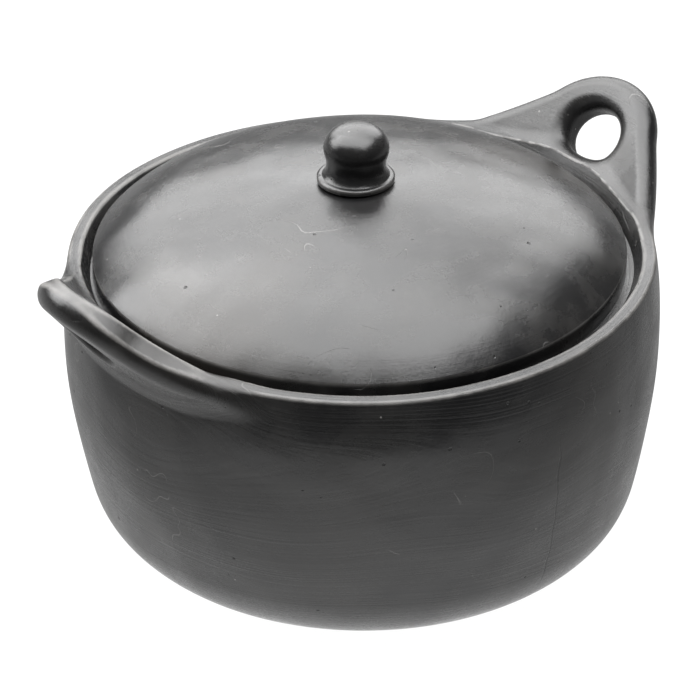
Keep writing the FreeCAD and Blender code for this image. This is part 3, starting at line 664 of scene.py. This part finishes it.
def make_rim_and_ears():
    points, faces = rim_shell()
    source = bmesh.new()
    handles = [source.verts.new(point) for point in points]
    for face in faces.tolist():
        source.faces.new([handles[index] for index in face])
    source.normal_update()
    seam = ((0, 0, RIM_SEAM), (0, 0, -1))
    planes = {side: parting_plane(side) for side in (1, -1)}
    below = [(tuple(point), tuple(normal)) for point, normal in planes.values()]
    above = {side: (tuple(point), tuple(-normal)) for side, (point, normal) in planes.items()}
    cuts = {"rim_coil": [seam] + below, "right_ear": [above[1]], "left_ear": [above[-1]]}
    for node, its_cuts in cuts.items():
        shape = parted(source, its_cuts)
        make_skin_piece(node, shape, [seam] + below)
        shape.free()
    source.free()


# ---------------------------------------------------------------- lid pieces

def make_lid():
    corner = complex(LID_RADIUS - LID_CORNER, POT_HEIGHT)
    shoulder = meeting_point(DOME, DOME_ARC - DOME_SHOULDER_ARC, corner, DOME_SHOULDER_ARC - LID_CORNER)
    crown_end = angle_to(DOME, shoulder)
    shoulder_end = angle_to(shoulder, corner)
    inner_arc = DOME_SHOULDER_ARC - LID_THICKNESS
    reach = LID_SEAT_RADIUS - shoulder.real
    inner_start = complex(LID_SEAT_RADIUS, shoulder.imag + math.sqrt(inner_arc ** 2 - reach ** 2))
    seat_inner = complex(LID_SEAT_RADIUS, LEDGE_TOP)
    seat_outer = complex(LID_RADIUS, LEDGE_TOP)
    outer = smooth_run(
        line_run(seat_outer, complex(LID_RADIUS, corner.imag)),
        arc_run(corner, LID_CORNER, 0, shoulder_end),
        arc_run(shoulder, DOME_SHOULDER_ARC, shoulder_end, crown_end),
        arc_run(DOME, DOME_ARC, crown_end, math.pi / 2))
    under = smooth_run(
        arc_run(DOME, DOME_ARC - LID_THICKNESS, math.pi / 2, crown_end),
        arc_run(shoulder, inner_arc, crown_end, angle_to(shoulder, inner_start)))
    runs = [under, line_run(inner_start, seat_inner), line_run(seat_inner, seat_outer), outer]
    piece = turned_piece("lid_plate_clay", runs, lid_unevenness)
    return finish_piece(piece, "lid", "lid_plate", "lid_clay")


def make_collar():
    side = complex(COLLAR_RADIUS - COLLAR_ROUND, COLLAR_TOP - COLLAR_ROUND)
    foot = complex(side.real, DOME.imag + math.sqrt(DOME_ARC ** 2 - side.real ** 2) - 0.3)
    outer = smooth_run(
        line_run(foot, side - 1j * COLLAR_ROUND),
        arc_run(side, COLLAR_ROUND, -math.pi / 2, math.pi / 2),
        line_run(complex(side.real, COLLAR_TOP), complex(0, COLLAR_TOP)))
    under = line_run(complex(0, foot.imag), foot)
    piece = turned_piece("knob_collar_clay", [under, outer], knob_unevenness)
    return finish_piece(piece, "lid", "knob_collar", "lid_clay")


def make_knob():
    narrowest = complex(KNOB_NECK_RADIUS, LID_CROWN + KNOB_NECK_HEIGHT)
    skirt = narrowest + KNOB_SKIRT_ARC
    neck = narrowest + KNOB_NECK_ARC
    crown = complex(0, KNOB_TOP - KNOB_CROWN_ARC)
    head = meeting_point(crown, KNOB_CROWN_ARC - KNOB_HEAD_ARC, neck, KNOB_NECK_ARC + KNOB_HEAD_ARC)
    foot_reach = math.sqrt(KNOB_SKIRT_ARC ** 2 - (skirt.imag - COLLAR_TOP) ** 2)
    foot = complex(skirt.real - foot_reach, COLLAR_TOP)
    neck_end = angle_to(neck, head)
    crown_start = angle_to(crown, head)
    outer = smooth_run(
        arc_run(skirt, KNOB_SKIRT_ARC, angle_to(skirt, foot) + 2 * math.pi, math.pi),
        arc_run(neck, KNOB_NECK_ARC, math.pi, neck_end),
        arc_run(head, KNOB_HEAD_ARC, neck_end - math.pi, crown_start),
        arc_run(crown, KNOB_CROWN_ARC, crown_start, math.pi / 2))
    under = line_run(complex(0, COLLAR_TOP), foot)
    piece = turned_piece("lid_knob_clay", [under, outer], knob_unevenness)
    return finish_piece(piece, "lid", "lid_knob", "lid_clay")


# ---------------------------------------------------------------- material

# For each finish: burnishing streaks, share of cells with a pit, edge wear with its painted highlight,
# brownness.
FINISHES = {
    "bowl_clay": (0.6, 0.10, 0.9, 0.25),
    "ear_clay": (0.3, 0.12, 1.0, 0.25),
    "lid_clay": (0.15, 0.07, 0.35, 0.6),
}

# Patterns per metre.
DRIFT_SCALE = 9.0
CLOUD_SCALE = 16.0
SWELL_SCALE = 30.0
MOTTLE_SCALE = 75.0
GRAIN_SCALE = 900.0
WIDE_STREAK_SCALE = 90.0
FINE_STREAK_SCALE = 420.0
STREAK_STRETCH = 0.06              # a streak's pattern across its length, as a share of along it
PIT_SCALE = 210.0
SPECK_SCALE = 331.0
SPECK_SHARE = 0.012
SCRATCH_SCALE = 22.0
SCRATCH_PATCH_SCALE = 38.0

# One hairline crack runs up the bowl.
CRACK_ANGLE = math.radians(-87)
CRACK_WANDER = 0.05
CRACK_WANDER_SCALE = 55.0
CRACK_DEPTH = 0.4

# Colours, from the blackest clay to a bare speck.
PIT_BLACK = (0.003, 0.003, 0.003, 1)
SOOT = (0.0045, 0.0045, 0.0048, 1)
SMOKE = (0.0095, 0.0092, 0.0088, 1)
BROWN = (0.018, 0.0152, 0.0128, 1)
MOTTLE_GREY = (0.019, 0.0182, 0.0172, 1)
STREAK_GREY = (0.024, 0.023, 0.022, 1)
GRAIN_GREY = (0.030, 0.029, 0.028, 1)
SCRATCH_GREY = (0.09, 0.088, 0.085, 1)
# Worn edges get this lighter grey, which also paints a highlight on them.
WEAR_AND_HIGHLIGHT_GREY = (0.095, 0.092, 0.088, 1)
SPECK_GREY = (0.14, 0.135, 0.13, 1)

# Depths of relief, in metres.
SWELL_DEPTH = 0.0016
MOTTLE_DEPTH = 0.00016
WIDE_STREAK_DEPTH = 0.00022
FINE_STREAK_DEPTH = 0.00006
GRAIN_DEPTH = 0.00004
MARK_DEPTH = 0.00025


class Clay:
    """Short calls for making and linking the nodes of one material."""

    def __init__(self, name):
        self.material = bpy.data.materials.new(name)
        self.material.use_nodes = True
        self.tree = self.material.node_tree
        self.shader = self.tree.nodes["Principled BSDF"]

    def feed(self, socket, value):
        if isinstance(value, bpy.types.NodeSocket):
            self.tree.links.new(value, socket)
        else:
            socket.default_value = value

    def math(self, operation, first, second=0.5):
        node = self.tree.nodes.new("ShaderNodeMath")
        node.operation = operation
        for socket, value in zip(node.inputs, (first, second)):
            self.feed(socket, value)
        return node.outputs[0]

    def vector(self, x, y, z):
        node = self.tree.nodes.new("ShaderNodeCombineXYZ")
        for socket, value in zip(node.inputs, (x, y, z)):
            self.feed(socket, value)
        return node.outputs[0]

    def noise(self, place, scale, detail=3.0, rough=0.5, w=None, distortion=0.0):
        node = self.tree.nodes.new("ShaderNodeTexNoise")
        if w is not None:
            node.noise_dimensions = "4D"
            self.feed(node.inputs["W"], w)
        self.feed(node.inputs["Vector"], place)
        node.inputs["Scale"].default_value = scale
        node.inputs["Detail"].default_value = detail
        node.inputs["Roughness"].default_value = rough
        node.inputs["Distortion"].default_value = distortion
        return node.outputs["Fac"]

    def cells(self, place, scale):
        """Distance from the middle of the nearest cell, and that cell's own random number."""
        node = self.tree.nodes.new("ShaderNodeTexVoronoi")
        self.feed(node.inputs["Vector"], place)
        node.inputs["Scale"].default_value = scale
        parts = self.tree.nodes.new("ShaderNodeSeparateColor")
        self.tree.links.new(node.outputs["Color"], parts.inputs[0])
        return node.outputs["Distance"], parts.outputs[0]

    def times(self, first, second):
        return self.math("MULTIPLY", first, second)

    def ramp(self, value, low, high, to_low=0.0, to_high=1.0):
        node = self.tree.nodes.new("ShaderNodeMapRange")
        node.interpolation_type = "SMOOTHSTEP"
        for socket, number in zip(node.inputs, (value, low, high, to_low, to_high)):
            self.feed(socket, number)
        return node.outputs["Result"]

    def blend(self, share, first, second):
        """The first colour, going over to the second as the share goes to 1."""
        node = self.tree.nodes.new("ShaderNodeMix")
        node.data_type = "RGBA"
        self.feed(node.inputs["Factor"], share)
        self.feed(node.inputs[6], first)
        self.feed(node.inputs[7], second)
        return node.outputs[2]

    def bump(self, height, distance, under=None):
        node = self.tree.nodes.new("ShaderNodeBump")
        node.inputs["Distance"].default_value = distance
        self.feed(node.inputs["Height"], height)
        if under is not None:
            self.feed(node.inputs["Normal"], under)
        return node.outputs["Normal"]


def clay_patterns(c, place, x, y, z):
    """Clouds, mottling, grain, and streaks that run round the axis as the burnishing stone did."""
    radius = c.math("SQRT", c.math("ADD", c.times(x, x), c.times(y, y)))
    along = c.vector(c.times(x, STREAK_STRETCH), c.times(y, STREAK_STRETCH), z)
    fine_place = c.times(radius, FINE_STREAK_SCALE)
    wide_place = c.times(radius, WIDE_STREAK_SCALE)
    return {
        "drift": c.noise(place, DRIFT_SCALE, 2.0),
        "fine_streak": c.noise(along, FINE_STREAK_SCALE, 3.0, 0.6, w=fine_place),
        "wide_streak": c.noise(along, WIDE_STREAK_SCALE, 2.0, 0.5, w=wide_place),
        "cloud": c.noise(place, CLOUD_SCALE, 5.0, 0.55, distortion=0.6),
        "mottle": c.noise(place, MOTTLE_SCALE, 4.0, 0.6),
        "grain": c.noise(place, GRAIN_SCALE, 3.0, 0.6),
        "swell": c.noise(place, SWELL_SCALE, 1.0),
    }


def clay_pits(c, place, share):
    """Pits in a share of the cells, of sizes that differ."""
    distance, pick = c.cells(place, PIT_SCALE)
    size = c.ramp(pick, 0.0, share, 0.20, 0.06)
    depth = c.ramp(c.math("SUBTRACT", size, distance), 0.0, 0.08)
    return c.times(depth, c.math("LESS_THAN", pick, share))


def clay_specks(c, place):
    distance, pick = c.cells(place, SPECK_SCALE)
    return c.times(c.ramp(distance, 0.10, 0.16, 1.0, 0.0), c.math("GREATER_THAN", pick, 1 - SPECK_SHARE))


def clay_scratches(c, place):
    """Fine curved lines where a slow noise passes its middle, kept in a few patches."""
    line = c.noise(place, SCRATCH_SCALE, 1.0, 0.4, distortion=1.2)
    near = c.math("ABSOLUTE", c.math("SUBTRACT", line, 0.5))
    patch = c.ramp(c.noise(place, SCRATCH_PATCH_SCALE, 1.0), 0.60, 0.66)
    return c.times(c.ramp(near, 0.0008, 0.003, 1.0, 0.0), patch)


def clay_crack(c, place, x, y, z):
    """A wandering hairline up the bowl's wall, which fades out at both ends."""
    wander = c.math("SUBTRACT", c.noise(place, CRACK_WANDER_SCALE, 4.0, 0.6), 0.5)
    turn = c.math("ADD", c.math("ARCTAN2", y, x), c.times(wander, CRACK_WANDER))
    near = c.math("ABSOLUTE", c.math("SUBTRACT", turn, CRACK_ANGLE))
    part = c.times(c.ramp(z, 0.022, 0.035), c.ramp(z, 0.105, 0.085))
    return c.times(c.times(c.ramp(near, 0.0012, 0.0045, 1.0, 0.0), part), CRACK_DEPTH)


def clay_colour(c, pattern, mark, streaks, brown):
    """Near-black smoked clay, layer over layer, with its worn edges, lightened also as a painted
    highlight, and its marks on top.
    """
    layers = (
        (c.times(c.ramp(pattern["drift"], 0.45, 0.7), brown), BROWN),
        (c.times(c.ramp(pattern["fine_streak"], 0.5, 0.8), 0.35 * streaks), STREAK_GREY),
        (c.times(c.ramp(pattern["mottle"], 0.48, 0.72), 0.45), MOTTLE_GREY),
        (c.times(c.ramp(pattern["grain"], 0.55, 0.8), 0.3), GRAIN_GREY),
        # worn tight edges in lighter grey: edge wear and a painted highlight
        (mark["worn"], WEAR_AND_HIGHLIGHT_GREY),
        (c.times(mark["scratch"], 0.7), SCRATCH_GREY),
        (mark["speck"], SPECK_GREY),
        (mark["pit"], PIT_BLACK),
    )
    colour = c.blend(c.ramp(pattern["cloud"], 0.35, 0.68), SOOT, SMOKE)
    for share, layer in layers:
        colour = c.blend(share, colour, layer)
    return colour


def clay_roughness(c, pattern, mark, streaks):
    """A satin burnish, duller along streaks, in mottled patches, on worn edges and in pits."""
    satin = c.ramp(pattern["cloud"], 0.3, 0.7, 0.22, 0.29)
    changes = (
        c.ramp(pattern["wide_streak"], 0.3, 0.7, -0.03 * streaks, 0.05 * streaks),
        c.ramp(pattern["fine_streak"], 0.4, 0.75, 0.0, 0.06 * streaks),
        c.ramp(pattern["mottle"], 0.35, 0.68, -0.015, 0.045),
        c.times(mark["worn"], 0.12),
        c.times(mark["pit"], 0.3),
    )
    for change in changes:
        satin = c.math("ADD", satin, change)
    return satin


def clay_relief(c, pattern, mark, streaks):
    """Slow swells of the hand-shaped wall, streaks, grain, and sunken pits and scratches."""
    marks = c.math("ADD", mark["pit"], c.times(mark["scratch"], 0.4))
    heights = (
        (pattern["swell"], SWELL_DEPTH),
        (pattern["mottle"], MOTTLE_DEPTH),
        (pattern["wide_streak"], WIDE_STREAK_DEPTH * streaks),
        (pattern["fine_streak"], FINE_STREAK_DEPTH * streaks),
        (pattern["grain"], GRAIN_DEPTH),
        (marks, -MARK_DEPTH),
    )
    normal = None
    for height, depth in heights:
        normal = c.bump(height, depth, normal)
    return normal


def make_clay(name):
    """Burnished, smoke-fired clay."""
    streaks, pit_share, wear_and_highlight_amount, brown = FINISHES[name]
    c = Clay(name)
    place = c.tree.nodes.new("ShaderNodeTexCoord").outputs["Object"]
    apart = c.tree.nodes.new("ShaderNodeSeparateXYZ")
    c.feed(apart.inputs[0], place)
    x, y, z = apart.outputs
    pattern = clay_patterns(c, place, x, y, z)
    pit = clay_pits(c, place, pit_share)
    if name == "bowl_clay":
        pit = c.math("MAXIMUM", pit, clay_crack(c, place, x, y, z))
    # Edge wear from the mesh's bend value; its light grey also paints highlights on tight edges.
    edge = c.tree.nodes.new("ShaderNodeAttribute")
    edge.attribute_name = "worn"
    worn = c.times(c.ramp(edge.outputs["Fac"], 0.35, 1.0), c.ramp(pattern["mottle"], 0.35, 0.6, 0.45, 1.0))
    mark = {
        "pit": pit,
        "speck": clay_specks(c, place),
        "scratch": clay_scratches(c, place),
        "worn": c.times(worn, wear_and_highlight_amount),
    }
    c.feed(c.shader.inputs["Base Color"], clay_colour(c, pattern, mark, streaks, brown))
    c.feed(c.shader.inputs["Roughness"], clay_roughness(c, pattern, mark, streaks))
    c.feed(c.shader.inputs["Normal"], clay_relief(c, pattern, mark, streaks))
    c.shader.inputs["Specular IOR Level"].default_value = 0.45
    return c.material


# ---------------------------------------------------------------- assembly

clay = {}


def finish_piece(piece, body, node, slot):
    if slot not in clay:
        clay[slot] = make_clay(slot)
    piece.data.materials.append(clay[slot])
    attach(piece, body)
    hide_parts(node)
    return piece


# ---------------------------------------------------------------- camera, table and lights

CAMERA_AZIMUTH = math.radians(-37.0)
CAMERA_ELEVATION = math.radians(30.42)
CAMERA_DISTANCE = 1800.0
CAMERA_LENS = 227.7
VIEW_CENTRE = (-16.5, -13.8, 96.7)


def direction(azimuth, elevation):
    """From the pot towards something seen at an azimuth and elevation. Azimuth 0 is -Y."""
    return Vector((math.sin(azimuth) * math.cos(elevation), -math.cos(azimuth) * math.cos(elevation),
                   math.sin(elevation)))


# The table, in metres and radiance. The pot sees less light from it than shows in a view.
TABLE_REACH = 6.0
TABLE_GLOW = 0.38              # what the table gives off, as the pot sees it
POOL_GLOW = 1.6                # and in the painted pool of light in front of the pot
POOL_PLACE = 0.17
POOL_RADIUS = 0.34
DIM_START = 0.29               # further forward than this, the table's glow towards the pot is painted dim
DIM_END = 0.37
DIM_SHARE = 0.08
ROOM_GLOW = 0.15

# Softboxes: degrees from straight behind the pot, elevation, distance, width, height, radiance.
SOFTBOXES = {
    "back_softbox": (4, 37, 1.3, 2.1, 1.0, 5.0),
    "top_softbox": (75, 84, 1.0, 1.2, 1.7, 8.3),
    "left_softbox": (75, 30, 1.3, 0.8, 0.7, 9.0),
}
LIGHT_CENTRE = Vector((0, 0, 0.1))


def make_glow(nodes, links, front):
    """What the table gives off towards the pot: a painted pool of light near it, and painted dimness far
    in front.
    """
    place = nodes.new("ShaderNodeTexCoord")
    away = nodes.new("ShaderNodeVectorMath")
    away.operation = "DISTANCE"
    away.inputs[1].default_value = front * POOL_PLACE
    forward = nodes.new("ShaderNodeVectorMath")
    forward.operation = "DOT_PRODUCT"
    forward.inputs[1].default_value = front
    pool = nodes.new("ShaderNodeMapRange")
    dim = nodes.new("ShaderNodeMapRange")
    steps = (
        (pool, (POOL_RADIUS, 0.0, TABLE_GLOW, POOL_GLOW)),
        (dim, (DIM_START, DIM_END, 1.0, DIM_SHARE)),
    )
    for node, numbers in steps:
        node.interpolation_type = "SMOOTHSTEP"
        for socket, number in zip(list(node.inputs)[1:5], numbers):
            socket.default_value = number
    both = nodes.new("ShaderNodeMath")
    both.operation = "MULTIPLY"
    links.new(place.outputs["Object"], away.inputs[0])
    links.new(place.outputs["Object"], forward.inputs[0])
    links.new(away.outputs["Value"], pool.inputs["Value"])
    links.new(forward.outputs["Value"], dim.inputs["Value"])
    links.new(pool.outputs["Result"], both.inputs[0])
    links.new(dim.outputs["Result"], both.inputs[1])
    return both.outputs[0]


def seen_white(nodes, links, strength, else_strength):
    """Feeds a strength so that the stage shows as plain white, however dimly it lights the pot."""
    path = nodes.new("ShaderNodeLightPath")
    choice = nodes.new("ShaderNodeMix")
    links.new(path.outputs["Is Camera Ray"], choice.inputs["Factor"])
    if isinstance(else_strength, bpy.types.NodeSocket):
        links.new(else_strength, choice.inputs[2])
    else:
        choice.inputs[2].default_value = else_strength
    choice.inputs[3].default_value = 1.0
    links.new(choice.outputs[0], strength)


def make_floor():
    """A white table that glows: plain white in a view, with a painted pool of light in what it gives off
    towards the pot.
    """
    mesh = bpy.data.meshes.new("floor")
    reach = TABLE_REACH
    corners = [(-reach, -reach, 0), (reach, -reach, 0), (reach, reach, 0), (-reach, reach, 0)]
    mesh.from_pydata(corners, [], [(0, 1, 2, 3)])
    floor = bpy.data.objects.new("floor", mesh)
    bpy.context.scene.collection.objects.link(floor)
    material = bpy.data.materials.new("floor_white")
    material.use_nodes = True
    nodes, links = material.node_tree.nodes, material.node_tree.links
    shader = nodes["Principled BSDF"]
    shader.inputs["Base Color"].default_value = (0.04, 0.04, 0.04, 1)
    shader.inputs["Roughness"].default_value = 0.9
    shader.inputs["Specular IOR Level"].default_value = 0.1
    shader.inputs["Emission Color"].default_value = (1, 1, 1, 1)
    glow = make_glow(nodes, links, direction(CAMERA_AZIMUTH, 0))
    seen_white(nodes, links, shader.inputs["Emission Strength"], glow)
    mesh.materials.append(material)


def make_camera():
    data = bpy.data.cameras.new("camera")
    data.lens = CAMERA_LENS
    data.sensor_width = 36
    data.clip_start = 0.05
    data.clip_end = 50
    camera = bpy.data.objects.new("camera", data)
    back = direction(CAMERA_AZIMUTH, CAMERA_ELEVATION)
    camera.location = (Vector(VIEW_CENTRE) + back * CAMERA_DISTANCE) * MM
    camera.rotation_euler = (-back).to_track_quat("-Z", "Y").to_euler()
    bpy.context.scene.collection.objects.link(camera)
    bpy.context.scene.camera = camera


def make_softbox(name, azimuth, elevation, distance, width, height, glow):
    """A rectangular soft light that faces the pot. Glow is its radiance."""
    data = bpy.data.lights.new(name, "AREA")
    data.shape = "RECTANGLE"
    data.size = width
    data.size_y = height
    data.energy = glow * math.pi * width * height
    light = bpy.data.objects.new(name, data)
    light.visible_camera = False
    way = direction(math.radians(azimuth), math.radians(elevation))
    light.location = LIGHT_CENTRE + way * distance
    light.rotation_euler = way.to_track_quat("Z", "Y").to_euler()
    bpy.context.scene.collection.objects.link(light)


def make_lights():
    behind = math.degrees(CAMERA_AZIMUTH) + 180
    for name, (turn, *place_and_size) in SOFTBOXES.items():
        make_softbox(name, behind + turn, *place_and_size)
    world = bpy.data.worlds.new("room")
    world.use_nodes = True
    background = world.node_tree.nodes["Background"]
    background.inputs["Color"].default_value = (1, 1, 1, 1)
    seen_white(world.node_tree.nodes, world.node_tree.links, background.inputs["Strength"], ROOM_GLOW)
    bpy.context.scene.world = world


make_camera()
make_floor()
make_lights()
make_base()
make_wall()
make_ledge()
make_rim_and_ears()
make_lid()
make_collar()
make_knob()
bpy.context.scene.view_settings.view_transform = "Standard"
